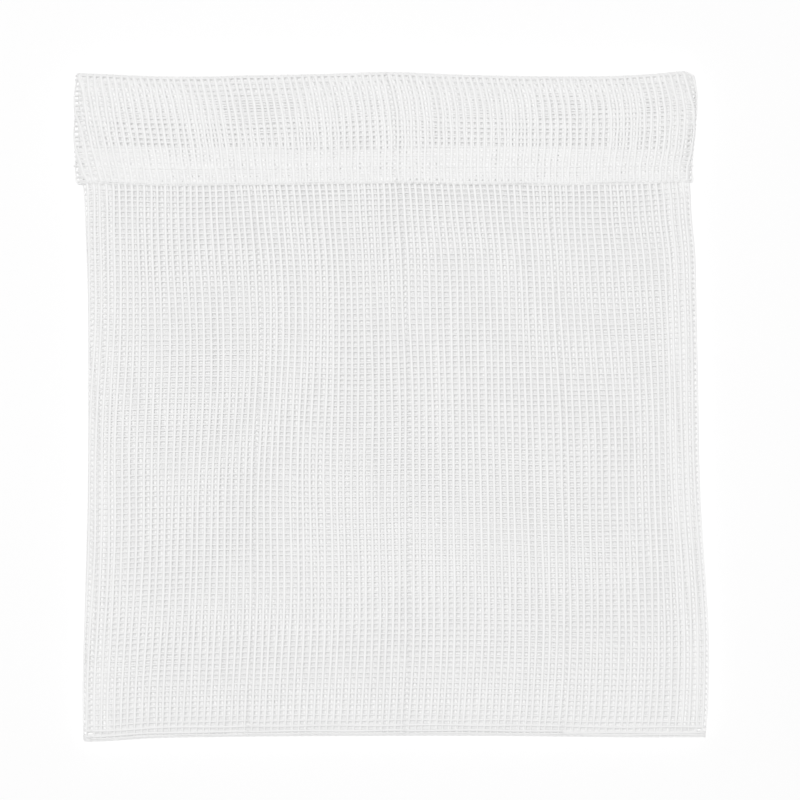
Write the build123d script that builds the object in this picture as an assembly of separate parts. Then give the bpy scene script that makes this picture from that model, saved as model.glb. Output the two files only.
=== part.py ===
"""Mesh produce bag: a flat open-mesh pouch with a deep stitched cuff at its mouth.

The bag lies on its back wall.  +Z is up through its thickness, +X runs across it and
+Y points from the bottom fold to the open mouth.  The origin is on the surface it lies
on, under the middle of its outline.  All sizes are in millimetres.

The cloth is one open-mesh blank: folded at the bottom, seamed up both sides with the
seam allowances inside, and turned outwards at the mouth into a deep double-fold hem.
Each zone of the blank is a node of its own, one cloth layer thick, so that the layers
stack as they do in the sewn bag.  The front wall hinges about the bottom fold.
"""
from build123d import *
import os

# Cloth
LAYER = 0.7                 # one layer of mesh, over its crossings
THREAD = 0.4                # sewing thread as it lies, squashed

# Outline of the bag as it lies
BAG_LENGTH = 216.0          # bottom fold to mouth rim
CUFF_DEPTH = 35.9           # mouth rim to the cuff's lower edge
TURN_UNDER = 11.3           # raw edge folded under inside the cuff
BODY_LEFT_X = -98.4         # side edges of the pouch below the cuff
BODY_RIGHT_TOP_X = 96.4
BODY_RIGHT_BOTTOM_X = 102.4
CUFF_LEFT_X = -102.4        # side edges of the cuff, which wraps round the pouch
CUFF_RIGHT_X = 98.8

# Thickness stack
BODY_HEIGHT = 7.4           # outside of the back wall to outside of the front wall
STEP_LENGTH = 3.5           # the back wall climbs on to its cuff over this length
JOINT_GAP = 0.4             # between the moving front wall and the side folds
HINGE_GAP = 0.9             # between the moving front wall and the bottom fold

# Seams
ALLOWANCE_REACH = 9.0       # seam allowance, from the side edge inwards
ALLOWANCE_TOP_CLEARANCE = 3.0
SIDE_SEAM_INSET = 1.4       # seam line, inside the allowance strip's outer edge
STITCH_PITCH = 4.8          # hem stitches
SEAM_PITCH = 3.2            # side seam stitches
STITCH_LINE = 5.2           # hem stitch line above the cuff's lower edge
MOUTH_SWING_DEG = 8.0       # how far the front wall lifts when the mouth is opened

# Levels that follow from the sizes above
HALF = BAG_LENGTH / 2
CUFF_LOW_Y = HALF - CUFF_DEPTH
CUFF_LIFT = 2 * LAYER                       # cuff and turn-under below the back wall
TOTAL_HEIGHT = BODY_HEIGHT + 2 * LAYER
BODY_R = BODY_HEIGHT / 2                    # outer radius of the body's side folds
HINGE_Y = -HALF + BODY_R
HINGE_Z = BODY_R
CUFF_Z = TOTAL_HEIGHT / 2                   # mid-height of the cuff
CUFF_R = CUFF_Z
RIM_R = 1.5 * LAYER                         # rolled mouth rim, wall to cuff
RIM_Y = HALF - RIM_R
HEM_Y = CUFF_LOW_Y + LAYER                  # centre of the small fold at the cuff's edge
FRONT_Z = BODY_HEIGHT - LAYER               # underside of the front wall

LEFT_X = BODY_LEFT_X + BODY_R               # where the side folds flatten out
RIGHT_TOP_X = BODY_RIGHT_TOP_X - BODY_R
RIGHT_BOTTOM_X = BODY_RIGHT_BOTTOM_X - BODY_R
FRONT_LEFT_X = LEFT_X + JOINT_GAP
FRONT_RIGHT_X = RIGHT_TOP_X - JOINT_GAP
STITCH_Y = CUFF_LOW_Y + STITCH_LINE
SEAM_LOW_Y = HINGE_Y + HINGE_GAP            # ends of the side seam allowances
SEAM_HIGH_Y = CUFF_LOW_Y - LAYER - STEP_LENGTH - ALLOWANCE_TOP_CLEARANCE


def block(x0, x1, y0, y1, z0, z1):
    """A box between two corners."""
    size = Box(x1 - x0, y1 - y0, z1 - z0)
    return Pos((x0 + x1) / 2, (y0 + y1) / 2, (z0 + z1) / 2) * size


def plate(points, z0, z1):
    """A flat plate with a polygonal outline in plan."""
    face = make_face(Polyline(*points, close=True))
    return Pos(0, 0, z0) * extrude(face, z1 - z0)


def half_ring(r_out, r_in, side):
    """Half a ring in a sketch: side -1 keeps the half at negative first coordinate."""
    ring = Circle(r_out) - Circle(r_in) if r_in > 0 else Circle(r_out)
    keep = Pos(side * r_out, 0) * Rectangle(2 * r_out, 4 * r_out)
    return ring & keep


def along_x(sketch, x0, x1, y, z):
    """Extrudes a (Y, Z) sketch centred on (y, z) from x0 to x1."""
    place = Plane(origin=(x0, y, z), x_dir=(0, 1, 0), z_dir=(1, 0, 0))
    return extrude(place * sketch, x1 - x0)


def along_y(sketch, start, end):
    """Extrudes an (X, Z) sketch from start to end, which may be shifted sideways."""
    place = Plane(origin=start, x_dir=(1, 0, 0), z_dir=(0, -1, 0))
    path = Vector(*end) - Vector(*start)
    return extrude(place * sketch, path.length, dir=path.normalized())


# ---------------------------------------------------------------- walls

def back_panel():
    """The back wall: flat on the ground, then up a step on to its own cuff."""
    step_top = CUFF_LOW_Y - LAYER
    side = Polyline(
        (HINGE_Y, 0), (step_top - STEP_LENGTH, 0), (step_top, CUFF_LIFT),
        (RIM_Y, CUFF_LIFT), (RIM_Y, CUFF_LIFT + LAYER),
        (step_top - LAYER / 2, CUFF_LIFT + LAYER),
        (step_top - STEP_LENGTH - LAYER / 2, LAYER), (HINGE_Y, LAYER), close=True)
    width = 2 * BAG_LENGTH
    wall = along_x(make_face(side), -width / 2, width / 2, 0, 0)
    outline = plate([(LEFT_X, HINGE_Y), (RIGHT_BOTTOM_X, HINGE_Y),
                     (RIGHT_TOP_X, CUFF_LOW_Y), (RIGHT_TOP_X, RIM_Y),
                     (LEFT_X, RIM_Y)], -LAYER, TOTAL_HEIGHT)
    return wall & outline


def front_panel():
    """The front wall, clear of the side folds and the bottom fold."""
    return plate([(FRONT_LEFT_X, HINGE_Y + HINGE_GAP),
                  (RIGHT_BOTTOM_X - JOINT_GAP, HINGE_Y + HINGE_GAP),
                  (FRONT_RIGHT_X, CUFF_LOW_Y), (FRONT_RIGHT_X, RIM_Y),
                  (FRONT_LEFT_X, RIM_Y)], FRONT_Z, FRONT_Z + LAYER)


# ---------------------------------------------------------------- cuff

def cuff_sheet(x0, x1, z0):
    """The cuff's outer layer."""
    return block(x0, x1, HEM_Y, RIM_Y, z0, z0 + LAYER)


def turn_under(x0, x1, z0):
    """The raw edge folded under, between the cuff and the wall."""
    return block(x0, x1, HEM_Y, CUFF_LOW_Y + TURN_UNDER, z0, z0 + LAYER)


def hem_fold(x0, x1, z):
    """The tight fold along the cuff's lower edge."""
    return along_x(half_ring(LAYER, 0, -1), x0, x1, HEM_Y, z)


def mouth_fold(x0, x1, z):
    """The rolled rim, where the wall turns over into the cuff."""
    return along_x(half_ring(RIM_R, RIM_R - LAYER, 1), x0, x1, RIM_Y, z)


def swept_round(sketch, radius, y, x_centre, x_lip, side):
    """A (radial, Y) sketch carried round a cuff's side edge, with a straight lip at
    each end."""
    place = Plane(origin=(x_centre, y, CUFF_Z + radius), x_dir=(0, 1, 0),
                  z_dir=(-side, 0, 0))
    face = place * sketch
    turn = Axis((x_centre, 0, CUFF_Z), (0, side, 0))
    bend = revolve(face, turn, 180)
    top_lip = extrude(face, abs(x_lip - x_centre), dir=(-side, 0, 0))
    low_place = Plane(origin=(x_centre, y, CUFF_Z - radius), x_dir=(0, 1, 0),
                      z_dir=(-side, 0, 0))
    low_lip = extrude(low_place * sketch, abs(x_lip - x_centre), dir=(-side, 0, 0))
    return bend + top_lip + low_lip


def cuff_wrap(x_edge, x_lip, side):
    """The cuff's layers where they turn round a side edge, front to back."""
    x_centre = x_edge - side * CUFF_R

    def layer(r_out, y0, y1):
        lip = abs(x_lip - x_centre)
        ring = half_ring(r_out, r_out - LAYER, side)
        for level in (r_out - LAYER / 2, LAYER / 2 - r_out):
            ring += Pos(-side * lip / 2, level) * Rectangle(lip, LAYER)
        return along_y(ring, (x_centre, y1, CUFF_Z), (x_centre, y0, CUFF_Z))

    wrap = layer(CUFF_R - CUFF_LIFT, CUFF_LOW_Y, RIM_Y)
    wrap += layer(CUFF_R - LAYER, HEM_Y, CUFF_LOW_Y + TURN_UNDER)
    wrap += layer(CUFF_R, HEM_Y, RIM_Y)
    wrap += swept_round(half_ring(RIM_R, RIM_R - LAYER, 1), CUFF_R - RIM_R, RIM_Y,
                        x_centre, x_lip, side)
    wrap += swept_round(half_ring(LAYER, 0, -1), CUFF_R - LAYER, HEM_Y,
                        x_centre, x_lip, side)
    return wrap


# ---------------------------------------------------------------- folds of the pouch

def side_fold(start_x, end_x, side):
    """The rounded side edge of the pouch below the cuff."""
    ring = half_ring(BODY_R, BODY_R - LAYER, side)
    return along_y(ring, (end_x, CUFF_LOW_Y, HINGE_Z), (start_x, HINGE_Y, HINGE_Z))


def bottom_fold():
    """The bottom edge, where the blank folds back on itself, with rounded corners."""
    fold = along_x(half_ring(BODY_R, BODY_R - LAYER, -1), LEFT_X, RIGHT_BOTTOM_X,
                   HINGE_Y, HINGE_Z)
    shell = Sphere(BODY_R) - Sphere(BODY_R - LAYER)
    for x, side in ((LEFT_X, -1), (RIGHT_BOTTOM_X, 1)):
        quarter = Pos(side * BODY_R, -BODY_R, 0) * Box(*(2 * BODY_R,) * 3)
        fold += Pos(x, HINGE_Y, HINGE_Z) * (shell & quarter)
    return fold


# ---------------------------------------------------------------- side seams

def flat_edge(side, y):
    """Where a side fold flattens out at y: the right one slopes outwards downwards."""
    if side < 0:
        return LEFT_X
    slope = (RIGHT_TOP_X - RIGHT_BOTTOM_X) / (CUFF_LOW_Y - HINGE_Y)
    return RIGHT_BOTTOM_X + slope * (y - HINGE_Y)


def allowance(side):
    """The two cut edges beside a side seam, pressed flat on the back wall inside."""
    inward = side * (BODY_R - ALLOWANCE_REACH)
    low, high = flat_edge(side, SEAM_LOW_Y), flat_edge(side, SEAM_HIGH_Y)
    return plate([(low, SEAM_LOW_Y), (low + inward, SEAM_LOW_Y),
                  (high + inward, SEAM_HIGH_Y), (high, SEAM_HIGH_Y)],
                 LAYER, 3 * LAYER)


def stitch_line(length, pitch, depth):
    """One thread of a seam seen from the side: flat on top, dipping at each hole."""
    dip = THREAD * 1.5
    count = int((length - dip) // pitch)
    margin = (length - count * pitch) / 2
    thread = Pos(length / 2, -THREAD / 2) * Rectangle(length, THREAD)
    for k in range(count + 1):
        thread += Pos(margin + k * pitch, -depth / 2) * Rectangle(dip, depth)
    return thread


def hem_thread(z_face, inwards, x0, x1):
    """A hem thread whose flats lie flush in the cloth's face at z_face.  Its dips point
    down where inwards is 1 and up where it is -1, and stop short of half way through."""
    shape = stitch_line(x1 - x0, STITCH_PITCH, 1.5 * LAYER - THREAD / 4)
    place = Plane(origin=(x0, STITCH_Y + inwards * THREAD / 2, z_face),
                  x_dir=(1, 0, 0), z_dir=(0, -inwards, 0))
    return extrude(place * shape, THREAD)


def seam_thread(side):
    """A side seam's thread along its allowance."""
    y0, y1 = SEAM_LOW_Y + HINGE_GAP, SEAM_HIGH_Y - HINGE_GAP
    inset = side * SIDE_SEAM_INSET
    start = Vector(flat_edge(side, y0) - inset, y0, 3 * LAYER)
    end = Vector(flat_edge(side, y1) - inset, y1, 3 * LAYER)
    run = (end - start).normalized()
    across = run.cross(Vector(0, 0, 1))
    shape = stitch_line((end - start).length, SEAM_PITCH, 2 * LAYER)
    place = Plane(origin=start - across * (THREAD / 2), x_dir=run, z_dir=across)
    return extrude(place * shape, THREAD)


# ---------------------------------------------------------------- the bag

BACK = (LEFT_X, RIGHT_TOP_X)                # across the back wall's cuff pieces
FRONT = (FRONT_LEFT_X, FRONT_RIGHT_X)       # across the front wall's cuff pieces
INNER_BACK_Z = CUFF_LIFT + LAYER            # inside face of the back wall in the cuff

nodes = {
    "back_panel": back_panel(),
    "back_cuff": cuff_sheet(*BACK, 0),
    "back_turn_under": turn_under(*BACK, LAYER),
    "back_hem_fold": hem_fold(*BACK, LAYER),
    "back_mouth_fold": mouth_fold(*BACK, RIM_R),
    "back_needle_thread": hem_thread(0, -1, *BACK),
    "back_bobbin_thread": hem_thread(INNER_BACK_Z, 1, *BACK),
    "bottom_fold": bottom_fold(),
    "left_side_fold": side_fold(LEFT_X, LEFT_X, -1),
    "right_side_fold": side_fold(RIGHT_BOTTOM_X, RIGHT_TOP_X, 1),
    "left_cuff_wrap": cuff_wrap(CUFF_LEFT_X, LEFT_X, -1),
    "right_cuff_wrap": cuff_wrap(CUFF_RIGHT_X, RIGHT_TOP_X, 1),
    "left_seam_allowance": allowance(-1),
    "right_seam_allowance": allowance(1),
    "left_seam_thread": seam_thread(-1),
    "right_seam_thread": seam_thread(1),
    "front_panel": front_panel(),
    "front_cuff": cuff_sheet(*FRONT, TOTAL_HEIGHT - LAYER),
    "front_turn_under": turn_under(*FRONT, BODY_HEIGHT),
    "front_hem_fold": hem_fold(*FRONT, TOTAL_HEIGHT - LAYER),
    "front_mouth_fold": mouth_fold(*FRONT, TOTAL_HEIGHT - RIM_R),
    "front_needle_thread": hem_thread(TOTAL_HEIGHT, 1, *FRONT),
    "front_bobbin_thread": hem_thread(FRONT_Z, -1, *FRONT),
}

os.makedirs("parts", exist_ok=True)
for name, shape in nodes.items():
    export_step(shape, f"parts/{name}.step")
print("hinge at y", HINGE_Y, "z", HINGE_Z, "swing", MOUTH_SWING_DEG)
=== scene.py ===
"""Looks of the mesh produce bag: every yarn of its open mesh, laid round the CAD frame.

The bag is one blank of mesh.  Its wales, the strong yarns along the bag, and its courses,
the finer yarns across it, are tubes that follow one surface: down the wall from the mouth,
round the bottom fold and side folds, over the rolled rim into the cuff, and round the
cuff's lower edge into the turned-under strip.  Lengths in this file are in millimetres,
except in calls to Blender and to the frame, which take metres.
"""
import math

import bpy
import numpy as np
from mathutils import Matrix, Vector


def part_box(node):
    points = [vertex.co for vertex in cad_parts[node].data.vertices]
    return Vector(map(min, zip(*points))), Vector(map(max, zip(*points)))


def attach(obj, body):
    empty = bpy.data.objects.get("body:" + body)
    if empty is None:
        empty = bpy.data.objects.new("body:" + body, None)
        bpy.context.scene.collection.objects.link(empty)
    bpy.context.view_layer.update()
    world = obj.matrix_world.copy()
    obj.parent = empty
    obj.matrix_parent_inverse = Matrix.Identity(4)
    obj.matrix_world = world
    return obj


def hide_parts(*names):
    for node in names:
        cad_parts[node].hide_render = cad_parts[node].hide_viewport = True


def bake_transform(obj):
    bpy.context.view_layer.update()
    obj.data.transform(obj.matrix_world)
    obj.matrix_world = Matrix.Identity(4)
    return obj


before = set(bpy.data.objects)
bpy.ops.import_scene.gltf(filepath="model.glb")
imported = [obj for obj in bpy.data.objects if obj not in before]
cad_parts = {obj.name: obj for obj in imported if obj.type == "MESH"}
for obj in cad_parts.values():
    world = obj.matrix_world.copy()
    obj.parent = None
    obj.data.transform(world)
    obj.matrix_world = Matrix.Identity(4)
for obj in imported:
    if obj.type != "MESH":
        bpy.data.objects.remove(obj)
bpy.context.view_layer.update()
MM = 0.001


def cad_box(node):
    """A CAD node's lowest and highest corners, in millimetres."""
    low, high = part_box(node)
    return np.array(low) / MM, np.array(high) / MM


# ------------------------------------------------------------------ sizes from the frame
LEFT_X = cad_box("left_side_fold")[0][0]    # the pouch's left edge in the CAD model
CUFF_LOW_Y = cad_box("left_side_fold")[1][1]
BOTTOM_Y = cad_box("bottom_fold")[0][1]
RIM_Y = cad_box("front_mouth_fold")[1][1]
FRONT_MID_Z = float(np.mean([c[2] for c in cad_box("front_panel")]))
BACK_MID_Z = 0.34                           # the back wall's mid-surface on the ground
LAYER = cad_box("front_cuff")[1][2] - cad_box("front_cuff")[0][2]
TURN_UNDER = cad_box("front_turn_under")[1][1] - CUFF_LOW_Y
CUFF_DEPTH = RIM_Y - CUFF_LOW_Y
SEAM_ALLOWANCE = 9.0
ALLOWANCE_WALES = 6

# ------------------------------------------------------------------ the cloth
WALES = 92                                  # across one wall
WALL_COURSES = 124                          # from the rim to the bottom fold
CUFF_COURSES = 22
TURN_COURSES = 9
CUFF_BULK, TURN_BULK = 1.1, 1.3             # how much the hem's yarns spread when handled
WALE_HALF = (0.50, 0.20)                    # half width and half thickness of a wale
COURSE_HALF = (0.30, 0.12)
STITCH_BEAD = 0.10                          # how much a wale swells at each loop
SPREAD = 2 * LAYER - 0.06                   # wall to outer cuff, between mid-surfaces
RIM_ROLL = SPREAD / 2
HEM_ROLL = SPREAD / 4
BODY_FOLD, CUFF_FOLD = 1.9, 1.45            # fold radii of the wall's side edges
STITCH_PITCH = 4.8                          # of the hem
rng = np.random.default_rng(11)


def curve(*points):
    """A smooth function through (x, y) points, level beyond its ends."""
    xs, ys = np.array(sorted(points), float).T
    slope = np.gradient(ys, xs)

    def value(x):
        x = np.clip(x, xs[0], xs[-1])
        k = np.clip(np.searchsorted(xs, x) - 1, 0, len(xs) - 2)
        h = xs[k + 1] - xs[k]
        t = (x - xs[k]) / h
        return ((1 + 2 * t) * (1 - t) ** 2 * ys[k] + t * (1 - t) ** 2 * h * slope[k]
                + t * t * (3 - 2 * t) * ys[k + 1] + t * t * (t - 1) * h * slope[k + 1])
    return value


def smooth(x):
    """0 below 0, 1 above 1, and a smooth step between."""
    x = np.clip(x, 0, 1)
    return x * x * (3 - 2 * x)


def rise(x):
    """0 at 0, rising fast and levelling out at 1."""
    x = np.clip(x, 0, 1)
    return 1 - (1 - x) ** 2.4


def waves(seed, count, longest, shortest):
    """A smooth random field of x and y, about 1 high, from seeded sine waves."""
    draw = np.random.default_rng(seed)
    length = np.exp(draw.uniform(math.log(shortest), math.log(longest), count))
    heading = draw.uniform(0, 2 * math.pi, count)
    phase = draw.uniform(0, 2 * math.pi, count)

    def field(x, y):
        total = 0
        for n, h, p in zip(length, heading, phase):
            total = total + n / longest * np.sin(
                2 * math.pi * (x * math.cos(h) + y * math.sin(h)) / n + p)
        return total / math.sqrt(count / 2)
    return field


# ------------------------------------------------------------------ outline in plan
# By height: how far the wall's left edge is from the CAD's, and where its right edge is.
# By place across the bag: how far the rim, the bottom fold and the cuff's lower edge are
# from the CAD's.
left_edge = curve((-108.0, -1.1), (-94.0, -1.2), (-62.0, -0.5), (-30.0, 0.3), (2.0, 0.5),
                  (34.0, 0.4), (57.0, -0.3), (70.0, -0.9), (78.0, -2.0), (99.0, -2.7),
                  (105.0, -2.4), (108.0, -2.1))
# How much further the cuff stands out at the left, near its lower edge.
cuff_flare = curve((72.0, 0.8), (78.0, 0.5), (90.0, 0.0))
right_edge = curve((-108.0, 101.5), (-95.0, 102.3), (-73.0, 102.4), (-62.0, 101.8),
                   (-30.0, 99.8), (2.0, 99.1), (34.0, 98.5), (50.0, 98.1), (62.0, 97.0),
                   (70.5, 96.5), (76.0, 95.9), (85.0, 96.7), (98.0, 97.6), (108.0, 96.7))
rim_line = curve((-102.0, -0.4), (-97.0, -0.6), (-77.0, -1.6), (-60.0, -1.8), (-44.0, -1.4),
                 (-20.0, -0.9), (0.0, -0.3), (16.0, -0.9), (43.0, -1.6), (68.0, -1.6),
                 (84.0, -0.9), (95.0, 0.1), (100.0, 0.1))
bottom_line = curve((-99.0, -0.3), (-90.0, 0.1), (-78.0, 0.9), (-55.0, 1.4), (-20.0, 1.7),
                    (35.0, 1.7), (70.0, 1.3), (102.0, 1.3))
hem_line = curve((-101.0, 0.3), (-85.0, -0.4), (-50.0, -0.5), (-10.0, 0.1), (25.0, -0.3),
                 (60.0, -0.2), (98.0, 0.8))
RIM_CORNER = (2.4, 4.2)                     # corner radii at the rim, left and right
BOTTOM_CORNER = (2.2, 1.2)                  # and at the bottom fold
RIM_RIGHT_X, BOTTOM_RIGHT_X = 97.6, 101.7   # where the right-hand corners end


def corner_drop(x, x_left, x_right, radii):
    """How far a rounded corner draws an edge in at x."""
    drop = 0
    for reach, radius in ((x_left + radii[0] - x, radii[0]),
                          (x - x_right + radii[1], radii[1])):
        reach = np.clip(reach, 0, radius)
        drop = drop + radius - np.sqrt(radius ** 2 - reach ** 2)
    return drop


def rim_y(x):
    """Where the rim is at x, with its rounded corners."""
    return RIM_Y + rim_line(x) - corner_drop(
        x, left_edge(99.0) + LEFT_X, RIM_RIGHT_X, RIM_CORNER)


def bottom_y(x):
    """Where the bottom fold's edge is at x, with its rounded corners."""
    return BOTTOM_Y + bottom_line(x) + corner_drop(
        x, left_edge(-104.0) + LEFT_X, BOTTOM_RIGHT_X, BOTTOM_CORNER)


def hem_y(x):
    """Where the cuff's lower edge is at x."""
    return CUFF_LOW_Y + hem_line(x)


# ------------------------------------------------------------------ heights
ripple = waves(3, 14, 90.0, 22.0)
fine_ripple = waves(8, 10, 24.0, 9.0)
LOFT_REACH = 34.0                           # from the edges to the level middle
RIPPLE_HEIGHT = 0.55
FINE_RIPPLE_HEIGHT = 0.12
FRONT_SAG = 0.3                             # of the front wall, below the CAD plate
BACK_LIFT, BACK_RIPPLE = 0.16, 0.08         # of the back wall, off the ground
NEEDLE_DIMPLE = 0.55                        # how deep each stitch pulls the cuff
DIMPLE_REACH = 0.75
BACK_DIMPLE = 0.6                           # the back's dimples, as a share of the front's
NEEDLE_SCATTER = 0.16
HEM_RIGHT_X = 96.0                          # the last needle hole


def cuff_share(y):
    """0 on the walls, and 1 where the cuff lies on them."""
    return smooth((y - CUFF_LOW_Y + 7.0) / 6.0)


def fold_radius(y):
    """How tightly the wall turns at its side edges."""
    return BODY_FOLD + (CUFF_FOLD - BODY_FOLD) * cuff_share(y)


def fold_height(y):
    """The level of the side folds' outermost line."""
    return BACK_MID_Z + SPREAD * cuff_share(y) + fold_radius(y)


def needle_x():
    """Where the hem's needle holes are, from the left side edge to the right."""
    low, high = LEFT_X - 1.5, HEM_RIGHT_X
    count = int((high - low) / STITCH_PITCH)
    return np.linspace(low, high, count + 1) + rng.normal(0, NEEDLE_SCATTER, count + 1)


NEEDLES = needle_x()
STITCH_RISE = 5.2                           # of the hem's seam above its lower edge


def stitch_y(x):
    """Where the hem's seam is at x."""
    return hem_y(x) + STITCH_RISE + 0.25 * np.sin(x / 23.0)


def dimples(x, y):
    """How far the needle holes pull the layers together at a point of the cuff."""
    near = np.clip(np.searchsorted(NEEDLES, x), 1, len(NEEDLES) - 1)
    gap = np.minimum(np.abs(x - NEEDLES[near - 1]), np.abs(x - NEEDLES[near]))
    off = (y - stitch_y(x)) / DIMPLE_REACH
    return np.exp(-off ** 2) * (0.35 + 0.65 * np.exp(-(gap / DIMPLE_REACH) ** 2))


def lay(loop, y, lift, closing):
    """Points of the bag's cloth.

    loop runs from -1, the right edge, over the back to 0, the left edge, and over the
    front to 1, the right edge again.  y is the height in plan.  lift is 0 on the wall and
    1 on the cuff's outer layer.  closing is 1 on a wall and falls to 0 at the bottom fold.
    """
    loop = (loop + 1) % 2 - 1
    front = loop >= 0
    across = np.abs(loop)
    plain = fold_radius(y)
    radius = plain + SPREAD * lift
    left_radius = radius + cuff_flare(y) * lift
    low_x = LEFT_X + left_edge(y) + plain - left_radius
    high_x = right_edge(y) + radius - plain
    # Both layers have the same cloth in the flat, and the outer one's folds are stretched.
    arc = math.pi / 2 * plain
    total = high_x - low_x - radius - left_radius + 2 * arc
    run = across * total
    turn_l = np.clip(run / plain, 0, math.pi / 2)
    turn_r = np.clip((total - run) / plain, 0, math.pi / 2)
    x = np.where(run < arc, low_x + left_radius * (1 - np.cos(turn_l)),
                 np.where(total - run < arc, high_x - radius * (1 - np.cos(turn_r)),
                          low_x + left_radius + run - arc))
    bend = np.sin(turn_l) * np.sin(turn_r) * closing
    edge = rise((x - low_x) / LOFT_REACH) * rise((high_x - x) / LOFT_REACH)
    edge = edge * rise((y - BOTTOM_Y) / LOFT_REACH)
    loft = FRONT_MID_Z - fold_height(y) - fold_radius(y)
    crumple = RIPPLE_HEIGHT * ripple(x, y) + FINE_RIPPLE_HEIGHT * fine_ripple(x, y)
    pull = dimples(x, y) * NEEDLE_DIMPLE * (lift - 0.25) * cuff_share(y)
    z_front = fold_height(y) + radius * bend + (loft + crumple - FRONT_SAG) * edge - pull
    lifted = BACK_LIFT + BACK_RIPPLE * ripple(x + 40.0, y - 25.0)
    z_back = fold_height(y) - radius * bend + lifted * edge + pull * BACK_DIMPLE
    return np.stack(np.broadcast_arrays(x, y, np.where(front, z_front, z_back)), -1)


# ------------------------------------------------------------------ the three zones
WALL_SKEW, WALL_BOW = 0.25, 0.55            # wales in pitches, courses in millimetres
OWN_LEAN = 0.8                              # of the wall's wales below the cuff, in pitches
BOTTOM_TWIST = 1.5                          # in pitches, so front and back wales meet there
TWIST_START = 0.2                           # where the wall begins to turn to that twist
SKEW_FRONT, SKEW_BACK = waves(21, 6, 150.0, 60.0), waves(34, 6, 150.0, 60.0)
BOW_FRONT, BOW_BACK = waves(55, 6, 160.0, 60.0), waves(62, 6, 160.0, 60.0)
SLIP = waves(77, 6, 90.0, 35.0)             # of the wall's wales under the cuff's
SLIP_MEAN, SLIP_RANGE = 0.45, 0.3           # in pitches
PITCH = 1 / WALES                           # from one wale to the next, along the loop
WALE_PITCH = 2.18                           # the same in millimetres
MEAN_RIGHT_X = 98.0                         # of the side edge
WALL_REACH = 150.0                          # how much of a random field one wall length covers


def plan_x(loop):
    """Roughly where a loop position lies in plan, for the lines that bound the zones."""
    across = np.abs((loop + 1) % 2 - 1)
    return LEFT_X - 1.0 + across * (MEAN_RIGHT_X - LEFT_X)


# How far the cuff's wales lean as they go down, in pitches over the cuff's depth: at the
# rim, and how much that changes by the lower edge, both by distance from the left edge.
lean_start = curve((0.0, 3.0), (0.3, 3.5), (1.0, 3.1))
lean_change = curve((0.0, -0.6), (0.15, -1.1), (0.35, -3.3), (0.6, -3.9), (1.0, -5.2))


def lean(loop, t):
    """The cuff's twist at t, in pitches along the loop."""
    across = np.abs((loop + 1) % 2 - 1)
    twist = lean_start(across) * t + lean_change(across) * t * t / 2
    # The wales run on straight where the left edge bulges, and crowd or spread beside it.
    bulge = left_edge(RIM_Y) - left_edge(RIM_Y - t * CUFF_DEPTH)
    inside = (1 - across) * smooth(across / 0.1) * np.sign((loop + 1) % 2 - 1)
    return twist + bulge * inside / WALE_PITCH


def wall(loop, t):
    """The wall, from the rim at t = 0 to the bottom fold at t = 1."""
    x = plan_x(loop)
    front = (loop + 1) % 2 - 1 >= 0
    top, low = rim_y(x), bottom_y(plan_x(loop + PITCH * BOTTOM_TWIST))
    roll, fold = RIM_ROLL, BODY_FOLD
    length = top - low - roll - fold + math.pi / 2 * (roll + fold)
    hold = np.sin(math.pi * np.clip(t, 0, 1))
    down = WALL_REACH * t
    bow = np.where(front, BOW_FRONT(x, down), BOW_BACK(x, down))
    s = t * length + WALL_BOW * bow * hold
    a = np.clip(s / roll, 0, math.pi / 2)
    b = np.clip((length - s) / fold, 0, math.pi / 2)
    y = np.where(s < math.pi / 2 * roll, top - roll * (1 - np.cos(a)),
                 np.where(length - s < math.pi / 2 * fold, low + fold * (1 - np.cos(b)),
                          top - roll - (s - math.pi / 2 * roll)))
    lift = 0.5 * (1 - np.sin(a))
    skew = np.where(front, SKEW_FRONT(x, down), SKEW_BACK(x, down))
    edge = np.minimum(np.abs(loop), 1 - np.abs(loop)) * 8
    own = (OWN_LEAN * smooth((t - 0.12) / 0.22) + WALL_SKEW * skew) * hold * smooth(edge)
    # Under the cuff the wall leans with it, and the two layers' wales slip past each other.
    slip = (SLIP_MEAN + SLIP_RANGE * SLIP(x, down)) * smooth(t / 0.03)
    leaned = lean(loop, np.clip(t * length / CUFF_DEPTH, 0, 1)) + slip
    leaned += (BOTTOM_TWIST - leaned) * np.clip((t - TWIST_START) / (1 - TWIST_START), 0, 1)
    return lay(loop + PITCH * (own + leaned), y, lift, np.sin(b))


def cuff(loop, t):
    """The cuff's outer layer, from the rim at t = 0 to its lower edge at t = 1."""
    x = plan_x(loop)
    top, low = rim_y(x), hem_y(x)
    length = top - low - RIM_ROLL - HEM_ROLL + math.pi / 2 * (RIM_ROLL + HEM_ROLL)
    s = t * length
    a = np.clip(s / RIM_ROLL, 0, math.pi / 2)
    b = np.clip((length - s) / HEM_ROLL, 0, math.pi / 2)
    y = np.where(s < math.pi / 2 * RIM_ROLL, top - RIM_ROLL * (1 - np.cos(a)),
                 np.where(length - s < math.pi / 2 * HEM_ROLL,
                          low + HEM_ROLL * (1 - np.cos(b)),
                          top - RIM_ROLL - (s - math.pi / 2 * RIM_ROLL)))
    lift = 0.75 + 0.25 * np.where(t < 0.5, 2 * np.sin(a) - 1, np.sin(b))
    return lay(loop + lean(loop, t) * PITCH, y, lift, 1.0)


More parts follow.
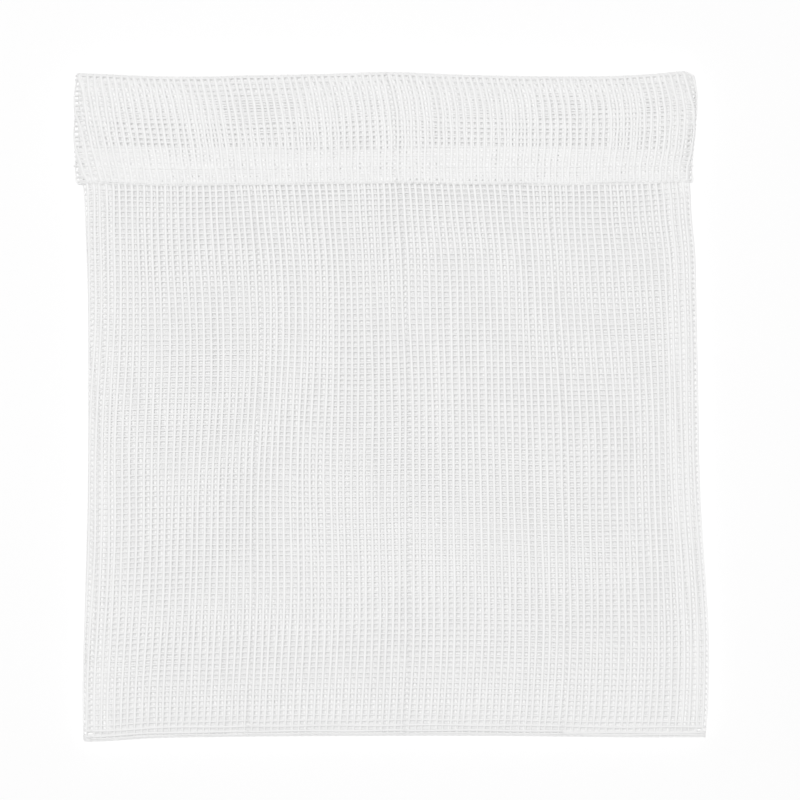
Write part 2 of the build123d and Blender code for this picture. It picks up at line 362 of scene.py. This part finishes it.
def turn_under(loop, t):
    """The raw edge turned under, from the cuff's lower edge at t = 0 up to t = 1."""
    x = plan_x(loop)
    low = hem_y(x)
    high = CUFF_LOW_Y + TURN_UNDER + 0.35 * np.sin(x / 17.0)
    length = high - low - HEM_ROLL + math.pi / 2 * HEM_ROLL
    s = t * length
    a = np.clip(s / HEM_ROLL, 0, math.pi / 2)
    y = np.where(s < math.pi / 2 * HEM_ROLL, low + HEM_ROLL * (1 - np.cos(a)),
                 low + HEM_ROLL + s - math.pi / 2 * HEM_ROLL)
    lift = 0.75 - 0.25 * np.sin(a)
    shift = lean(loop, 1 - t * TURN_UNDER / CUFF_DEPTH) + 0.5 * smooth(5 * t)
    return lay(loop + shift * PITCH, y, lift, 1.0)


# ------------------------------------------------------------------ yarns
FLAT_SIDES, ROUND_SIDES = 6, 5              # of the tubes of the mesh and of the hem thread
TINY = 1e-12
UP = np.array([0.0, 0.0, 1.0])


class Cloth:
    """Collects yarns as tubes and makes one mesh of them."""

    def __init__(self):
        self.points, self.faces, self.slots, self.soft, self.count = [], [], [], [], 0

    def tubes(self, line, normal, half_wide, half_thick, sides=FLAT_SIDES, slot=0):
        """Adds tubes along line, shaped (yarns, points, 3), flat against the cloth.

        slot is the material of each yarn, one for all of them or one each.
        """
        line, normal = np.broadcast_arrays(line, normal)
        along = np.gradient(line, axis=1)
        across = np.cross(normal, along)
        across /= np.linalg.norm(across, axis=-1, keepdims=True) + TINY
        normal = np.cross(along, across)
        normal /= np.linalg.norm(normal, axis=-1, keepdims=True) + TINY
        turn = 2 * math.pi * (np.arange(sides) + 0.5) / sides
        wide = np.broadcast_to(half_wide, line.shape[:2])[..., None, None]
        thick = np.broadcast_to(half_thick, line.shape[:2])[..., None, None]
        ring = (line[:, :, None] + wide * np.cos(turn)[:, None] * across[:, :, None]
                + thick * np.sin(turn)[:, None] * normal[:, :, None])
        yarns, steps = line.shape[:2]
        index = self.count + np.arange(yarns * steps * sides).reshape(yarns, steps, sides)
        a, b = index[:, :-1], index[:, 1:]
        quads = np.stack([a, np.roll(a, -1, 2), np.roll(b, -1, 2), b], -1).reshape(-1, 4)
        self.points.append(ring.reshape(-1, 3))
        self.faces += [quads, index[:, 0, ::-1].copy(), index[:, -1].copy()]
        slot = np.broadcast_to(slot, yarns)
        self.slots += [np.repeat(slot, (steps - 1) * sides), slot, slot]
        # A flat yarn has a crisp edge on each side, and a round one has none.
        soft = np.arange(sides) % 3 != 2 if sides == FLAT_SIDES else np.ones(sides, bool)
        self.soft += [np.tile(soft, yarns * (steps - 1)), np.zeros(2 * yarns, bool)]
        self.count += yarns * steps * sides

    def piece(self, name, materials):
        """The Blender object of all yarns so far."""
        mesh = bpy.data.meshes.new(name)
        points = np.concatenate(self.points) * MM
        sizes = np.concatenate([np.full(len(f), f.shape[1]) for f in self.faces])
        corners = np.concatenate([f.ravel() for f in self.faces])
        mesh.vertices.add(len(points))
        mesh.vertices.foreach_set("co", points.ravel())
        mesh.loops.add(len(corners))
        mesh.loops.foreach_set("vertex_index", corners)
        mesh.polygons.add(len(sizes))
        mesh.polygons.foreach_set("loop_start", np.cumsum(sizes) - sizes)
        mesh.polygons.foreach_set("use_smooth", np.concatenate(self.soft))
        mesh.polygons.foreach_set("material_index", np.concatenate(self.slots).astype("i4"))
        for material in materials:
            mesh.materials.append(material)
        mesh.update(calc_edges=True)
        mesh.validate()
        piece = bpy.data.objects.new(name, mesh)
        bpy.context.scene.collection.objects.link(piece)
        return piece


def surface_normal(surface, a, b, step=1e-3):
    """The cloth's outward normal on a zone."""
    da = surface(a + step, b) - surface(a - step, b)
    low, high = np.clip(b - step, 0, 1), np.clip(b + step, 0, 1)
    db = surface(a, high) - surface(a, low)
    n = np.cross(db, da)
    return n / (np.linalg.norm(n, axis=-1, keepdims=True) + TINY)


# The small irregularities of the yarns, in pitches.
WALE_SCATTER, SLOW_DRIFT, FAST_DRIFT = 0.045, 0.05, 0.03
COURSE_SCATTER, COURSE_DRIFT = 0.05, 0.06
WALE_LEVEL, COURSE_LEVEL = 0.09, -0.08      # of the yarns' middles, off the cloth's surface
EDGE_SHARE, EDGE_LEVEL = 0.003, 0.14        # the courses that make a zone's crisp first edge
WEAVE = 0.07                                # how far a course goes over and under the wales
FOLD_START, FOLD_SPAN = 0.96, 0.025         # where the bottom fold begins to press the yarns


def knit(cloth, surface, wales, courses, ends, bulk=1.0, folded=0.0):
    """Adds one zone's yarns: wales by loop position, and courses by share t of the zone.

    Where folded is 1, the fold at the zone's end stretches the cloth along the courses:
    the wales get thin there, and the courses lie outside them.
    """
    wander = rng.normal(0, WALE_SCATTER, len(wales)) * PITCH
    drift = rng.uniform(0, 2 * math.pi, (len(wales), 2))
    count = len(courses)
    t = np.linspace(0.0, 1.0, 2 * count + 1)[None, :]
    a = (wales[:, None] + wander[:, None] + SLOW_DRIFT * PITCH * np.sin(9 * t + drift[:, :1])
         + FAST_DRIFT * PITCH * np.sin(31 * t + drift[:, 1:]))
    t = np.broadcast_to(t, a.shape)
    normal = surface_normal(surface, a, t)
    bead = 1 + STITCH_BEAD * np.cos(math.pi * np.arange(a.shape[1]))[None, :]
    drawn = folded * smooth((t - FOLD_START) / FOLD_SPAN)
    line = surface(a, t) + (WALE_LEVEL - 0.14 * drawn)[..., None] * normal
    cloth.tubes(line, normal, WALE_HALF[0] * bulk * bead * (1 - 0.5 * drawn),
                WALE_HALF[1] * bead, slot=rng.integers(0, 2, len(wales)))

    low, high = ends
    wobble = rng.normal(0, COURSE_SCATTER, count) / count
    phase = rng.uniform(0, 2 * math.pi, (count, 1))
    a = np.linspace(low, high, 2 * len(wales) + 1)[None, :]
    t = courses[:, None] + wobble[:, None] + COURSE_DRIFT / count * np.sin(40 * a + phase)
    a, t = np.broadcast_arrays(a, np.clip(t, 0, 1))
    normal = surface_normal(surface, a, t)
    weave = WEAVE * np.cos(math.pi * np.arange(a.shape[1]))[None, :, None]
    drawn = folded * smooth((courses - FOLD_START) / FOLD_SPAN)[:, None]
    level = np.where(courses < EDGE_SHARE, EDGE_LEVEL, COURSE_LEVEL)[:, None, None]
    line = surface(a, t) + (weave + level + 0.2 * drawn[..., None]) * normal
    cloth.tubes(line, normal, COURSE_HALF[0] * bulk * (1 + 0.35 * drawn), COURSE_HALF[1],
                slot=rng.integers(2, 4, count))


# ------------------------------------------------------------------ side seams
ALLOWANCE_INSET = 0.9                       # seam line, inside the side edge
ALLOWANCE_GAP = 0.62                        # from the back wall, and between the two layers
OVERLOCK_STITCHES = 62
STITCH_STEPS = 10                           # points along the thread in each stitch
LOOP_HALF, CHAIN_HALF = (0.12, 0.12), (0.15, 0.13)
LOOP_RISE = 0.75                            # of the thread's loops, over the cut edges


def allowance(side, layer):
    """One cut edge beside a side seam: a is 0 at the seam and 1 at the cut, t runs up."""
    def surface(a, t):
        y = bottom_y(side * 95.0) + 2.4 + t * (RIM_Y - BOTTOM_Y - 5.0)
        reach = ALLOWANCE_INSET + (SEAM_ALLOWANCE - ALLOWANCE_INSET) * a
        reach = reach + 0.25 * a * np.sin(y / 9.0 + layer)
        span = right_edge(y) - LEFT_X - left_edge(y)
        radius = fold_radius(y)
        turned = np.arccos(np.clip(1 - reach / radius, 0, 1)) * radius
        length = np.where(reach < radius, turned, math.pi / 2 * radius + reach - radius)
        whole = span - 2 * radius + math.pi * radius
        share = length / whole if side < 0 else 1 - length / whole
        point = lay(-np.clip(share, 0, 1), y, 0.0, 1.0)
        curl = 0.25 * a * (1 + np.sin(y / 13.0 + 2 * side)) * layer
        lifted = ALLOWANCE_GAP * (layer + 1) + curl
        return point + np.stack([0 * lifted, 0 * lifted, lifted], -1)
    return surface


def overlock(cloth, side):
    """The seam's thread: a chain along the seam line and loops over the cut edges."""
    surface = allowance(side, 0.55)
    t = np.linspace(0.004, 0.996, OVERLOCK_STITCHES * STITCH_STEPS + 1)
    step = np.arange(len(t))
    zig = 0.5 - 0.5 * np.cos(2 * math.pi * (step / STITCH_STEPS % 1.0))
    line = surface((0.62 + 0.42 * zig)[None], t[None])
    turned = np.cos(math.pi * (step // STITCH_STEPS % 2))
    line[..., 2] += np.where(zig < 0.9, LOOP_RISE, 0.0) * turned
    cloth.tubes(line, UP, *LOOP_HALF)
    chain = surface(np.full((1, len(t)), 0.1), t[None])
    chain[..., 2] += LOOP_RISE * np.abs(np.sin(math.pi * step / STITCH_STEPS)) - 0.1
    cloth.tubes(chain, UP, *CHAIN_HALF)


# ------------------------------------------------------------------ hem stitching
PLY_TURN = 1.1                              # length of one turn of the two-ply thread
PLY_OFFSET = 0.10
PLY_HALF = (0.13, 0.12)
THREAD_POINTS = 620                         # along one half of the hem
THREAD_LEVEL, THREAD_DIP = 0.42, 1.1        # off the cloth, and into each needle hole
DIP_REACH = 0.62
LOWEST_PLY = 0.14                           # keeps the thread off the ground


def hem_thread(cloth, side, ends, outer):
    """The needle thread on the cuff's face, or the bobbin thread on the wall's inside."""
    a = np.linspace(ends[0], ends[1], THREAD_POINTS)
    low = lay(side * a, np.full_like(a, CUFF_LOW_Y + STITCH_RISE), 1.0, 1.0)
    y = stitch_y(low[:, 0])
    lift, facing = (1.0, 1) if outer else (0.0, -1)
    base = lay(side * a, y, lift, 1.0)
    normal = surface_normal(lambda p, q: lay(p, CUFF_LOW_Y + 10 * q, lift, 1.0),
                            side * a, np.full_like(a, 0.5))
    normal = normal * facing * np.sign(normal[:, 2:3] * side + 1e-9)
    gap = np.abs(base[:, :1] - NEEDLES[None]).min(1)
    height = THREAD_LEVEL - THREAD_DIP * np.exp(-(gap / DIP_REACH) ** 2)
    run = np.cumsum(np.linalg.norm(np.diff(base, axis=0, prepend=base[:1]), axis=1))
    line = base + height[:, None] * normal
    for ply in (0.0, math.pi):
        turn = 2 * math.pi * run / PLY_TURN + ply
        strand = line + PLY_OFFSET * (np.cos(turn)[:, None] * np.array([0.0, 1.0, 0.0])
                                      + np.sin(turn)[:, None] * normal)
        strand[:, 2] = np.maximum(strand[:, 2], LOWEST_PLY)
        cloth.tubes(strand[None], normal[None], *PLY_HALF, sides=ROUND_SIDES)


# ------------------------------------------------------------------ materials
PATCH_SCALE = 240.0                         # of the patches of lighter and darker yarn
TONE_RANGE, ROUGH_RANGE = 0.02, 0.08
WARMTH = 0.995                              # the yarn's blue, as a share of its red
FIBRE_DEPTH = 0.00005                       # metres


def yarn_material(name, tone, rough, grain):
    """White synthetic yarn: a tone that varies a little along it, and a fibre grain."""
    material = bpy.data.materials.new(name)
    material.use_nodes = True
    nodes, links = material.node_tree.nodes, material.node_tree.links
    shader = nodes["Principled BSDF"]
    shader.inputs["Specular IOR Level"].default_value = 0.35
    shader.inputs["Sheen Weight"].default_value = 0.6
    shader.inputs["Sheen Roughness"].default_value = 0.5
    place = nodes.new("ShaderNodeTexCoord")
    patches = nodes.new("ShaderNodeTexNoise")
    patches.inputs["Scale"].default_value = PATCH_SCALE
    patches.inputs["Detail"].default_value = 3.0
    links.new(place.outputs["Object"], patches.inputs["Vector"])
    ramp = nodes.new("ShaderNodeValToRGB")
    ends = zip(ramp.color_ramp.elements, (0.35, 0.65), (tone - TONE_RANGE, tone + TONE_RANGE))
    for element, position, grey in ends:
        element.position = position
        element.color = (grey, grey, WARMTH * grey, 1)
    links.new(patches.outputs["Fac"], ramp.inputs["Fac"])
    links.new(ramp.outputs["Color"], shader.inputs["Base Color"])
    fibres = nodes.new("ShaderNodeTexNoise")
    fibres.inputs["Scale"].default_value = grain
    links.new(place.outputs["Object"], fibres.inputs["Vector"])
    gloss = nodes.new("ShaderNodeMapRange")
    gloss.inputs["To Min"].default_value = rough - ROUGH_RANGE
    gloss.inputs["To Max"].default_value = rough + ROUGH_RANGE
    links.new(fibres.outputs["Fac"], gloss.inputs["Value"])
    links.new(gloss.outputs["Result"], shader.inputs["Roughness"])
    bump = nodes.new("ShaderNodeBump")
    bump.inputs["Strength"].default_value = 0.2
    bump.inputs["Distance"].default_value = FIBRE_DEPTH
    links.new(fibres.outputs["Fac"], bump.inputs["Height"])
    links.new(bump.outputs["Normal"], shader.inputs["Normal"])
    return material


# The courses are darker than the bulky wales: painted shade, seen through the thin yarns.
MESH_YARNS = [yarn_material("mesh_wale", 0.87, 0.6, 6000.0),
              yarn_material("mesh_wale_bright", 0.89, 0.6, 6000.0),
              yarn_material("mesh_course", 0.82, 0.55, 7000.0),
              yarn_material("mesh_course_bright", 0.84, 0.55, 7000.0)]
HEM_THREAD = [yarn_material("hem_thread_fibre", 0.89, 0.5, 9000.0)]
SEAM_THREAD = [yarn_material("seam_thread_fibre", 0.89, 0.5, 9000.0)]

# ------------------------------------------------------------------ camera, light, floor
VIEW_WIDTH = 0.2581                         # metres across the picture
VIEW_CENTRE = Vector((0.0029, 0.0021, 0.0))
CAMERA_HEIGHT = 1.6
SENSOR = 36.0

camera_data = bpy.data.cameras.new("camera")
camera_data.sensor_width = SENSOR
camera_data.lens = SENSOR * (CAMERA_HEIGHT - FRONT_MID_Z * MM) / VIEW_WIDTH
camera_data.clip_end = 20.0
camera = bpy.data.objects.new("camera", camera_data)
camera.location = VIEW_CENTRE + Vector((0, 0, CAMERA_HEIGHT))
bpy.context.scene.collection.objects.link(camera)
bpy.context.scene.camera = camera


def area_light(name, place, size, power):
    """A square soft light at place, aimed at the bag."""
    data = bpy.data.lights.new(name, "AREA")
    data.size = size
    data.energy = power
    light = bpy.data.objects.new(name, data)
    light.location = place
    light.rotation_euler = (-Vector(place)).to_track_quat("-Z", "Y").to_euler()
    bpy.context.scene.collection.objects.link(light)


area_light("key", (-0.03, 0.05, 1.9), 0.2, 29.5)
area_light("fill", (-0.9, 0.9, 1.5), 0.9, 1.9)
world = bpy.data.worlds.new("studio")
world.use_nodes = True
world.node_tree.nodes["Background"].inputs["Color"].default_value = (1, 1, 1, 1)
world.node_tree.nodes["Background"].inputs["Strength"].default_value = 0.12
bpy.context.scene.world = world
# The picture is bright and soft: light goes on bouncing deep in the mesh, and the tone
# curve lifts its shadows.
bpy.context.scene.cycles.diffuse_bounces = 10
bpy.context.scene.view_settings.view_transform = "Standard"
bpy.context.scene.view_settings.gamma = 2.0


def ground(name, outline, level, tone):
    """A flat matt stretch of the floor, or a sheet of painted shade lying on it."""
    mesh = bpy.data.meshes.new(name)
    mesh.from_pydata([(x, y, level) for x, y in outline], [], [range(len(outline))])
    piece = bpy.data.objects.new(name, mesh)
    bpy.context.scene.collection.objects.link(piece)
    material = bpy.data.materials.new(name + "_paper")
    material.use_nodes = True
    shader = material.node_tree.nodes["Principled BSDF"]
    shader.inputs["Base Color"].default_value = (tone, tone, tone, 1)
    shader.inputs["Roughness"].default_value = 0.9
    mesh.materials.append(material)


FLOOR = 6.0                                 # metres from the middle to each side
# The painted shade's height off the floor, and its tone.
SHADE_LEVEL, PAINTED_SHADE_TONE = 0.00001, 0.68
ground("floor", [(-FLOOR, -FLOOR), (FLOOR, -FLOOR), (FLOOR, FLOOR), (-FLOOR, FLOOR)], 0.0, 1.0)
# Under the bag lies a greyer sheet of painted shade, so that the mesh reads white against it.
SHADE_INSET = 1.2                           # of its outline from the bag's
side_ys = np.linspace(BOTTOM_Y + 4.0, CUFF_LOW_Y, 40)
end_xs = np.linspace(LEFT_X + 3.0, 95.0, 40)
shade = [((LEFT_X + left_edge(y) + SHADE_INSET) * MM, y * MM) for y in side_ys]
shade += [(x * MM, (hem_y(x) + 2.0) * MM) for x in end_xs]
shade += [((right_edge(y) - SHADE_INSET) * MM, y * MM) for y in side_ys[::-1]]
shade += [(x * MM, (bottom_y(x) + SHADE_INSET / 2) * MM) for x in end_xs[::-1]]
ground("painted_floor_shade", shade, SHADE_LEVEL, PAINTED_SHADE_TONE)

# ------------------------------------------------------------------ the pieces
BACK, FRONT = "back_wall", "front_wall"
SEAM_POINTS = {"left": (LEFT_X * MM, 0, 0), "right": (right_edge(0.0) * MM, 0, 0)}


def settle(piece, body, replaced):
    """Puts a back piece on its body, bakes a front piece's place into its mesh, and hides the
    CAD nodes it replaces.
    """
    if body == FRONT:
        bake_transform(piece)
    else:
        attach(piece, body)
    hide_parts(*replaced)


def rows(count, first=(), last=()):
    """Evenly spaced courses, as shares of a zone, with more at a fold at either end."""
    return np.concatenate([first, (np.arange(count) + 0.5) / count, last])


def wale_loops(first, last, sign):
    """The wales between two shares of a wall, as loop positions."""
    share = (np.arange(WALES) + 0.5) / WALES
    return sign * share[(share > first) & (share < last)]


EDGE_ROW = [0.0025]                         # the hem's first course, at the fold it starts from
RIM_ROWS, FOLD_ROWS = [0.0005, 0.002], [0.992, 0.9995]      # extra courses, as shares
STRIPS = {"left_outer": (0.0, 0.25), "left_inner": (0.25, 0.5),
          "right_inner": (0.5, 0.75), "right_outer": (0.75, 1.0)}
HALVES = {"left": (0.0, 0.5), "right": (0.5, 1.0)}
ZONES = {"cuff": (cuff, CUFF_COURSES, CUFF_DEPTH, CUFF_BULK, ["cuff", "mouth_fold"]),
         "turn_under": (turn_under, TURN_COURSES, TURN_UNDER, TURN_BULK,
                        ["turn_under", "hem_fold"])}

for body, sign, word in ((FRONT, 1, "front"), (BACK, -1, "back")):
    for strip, (first, last) in STRIPS.items():
        cloth = Cloth()
        knit(cloth, wall, wale_loops(first, last, sign), rows(WALL_COURSES, RIM_ROWS, FOLD_ROWS),
             ends=(sign * first, sign * last), folded=1.0)
        piece = cloth.piece(f"{word}_wall_{strip}", MESH_YARNS)
        replaced = [f"{word}_panel"]
        if word == "back":
            replaced += ["bottom_fold", strip.split("_")[0] + "_side_fold"]
        settle(piece, body, replaced)
    for half, (first, last) in HALVES.items():
        for zone, (surface, count, depth, bulk, nodes) in ZONES.items():
            cloth = Cloth()
            knit(cloth, surface, wale_loops(first, last, sign), rows(count, EDGE_ROW),
                 ends=(sign * first, sign * last), bulk=bulk)
            piece = cloth.piece(f"{word}_{zone}_{half}", MESH_YARNS)
            replaced = [f"{word}_{node}" for node in nodes]
            if word == "back":
                replaced.append(half + "_cuff_wrap")
            settle(piece, body, replaced)
        for kind in ("needle", "bobbin"):
            cloth = Cloth()
            hem_thread(cloth, sign, (first, last), kind == "needle")
            piece = cloth.piece(f"{word}_{kind}_thread_{half}", HEM_THREAD)
            settle(piece, body, [f"{word}_{kind}_thread"])

for side, half in ((-1, "left"), (1, "right")):
    for layer in (0, 1):
        cloth = Cloth()
        knit(cloth, allowance(side, layer), rows(ALLOWANCE_WALES) - 0.04 * layer,
             rows(WALL_COURSES - 3), ends=(0.0, 1.0))
        piece = cloth.piece(f"{half}_seam_allowance_{layer + 1}", MESH_YARNS)
        settle(piece, BACK, [half + "_seam_allowance"])
    cloth = Cloth()
    overlock(cloth, side)
    settle(cloth.piece(f"{half}_seam_thread_loops", SEAM_THREAD), BACK,
           [half + "_seam_thread"])
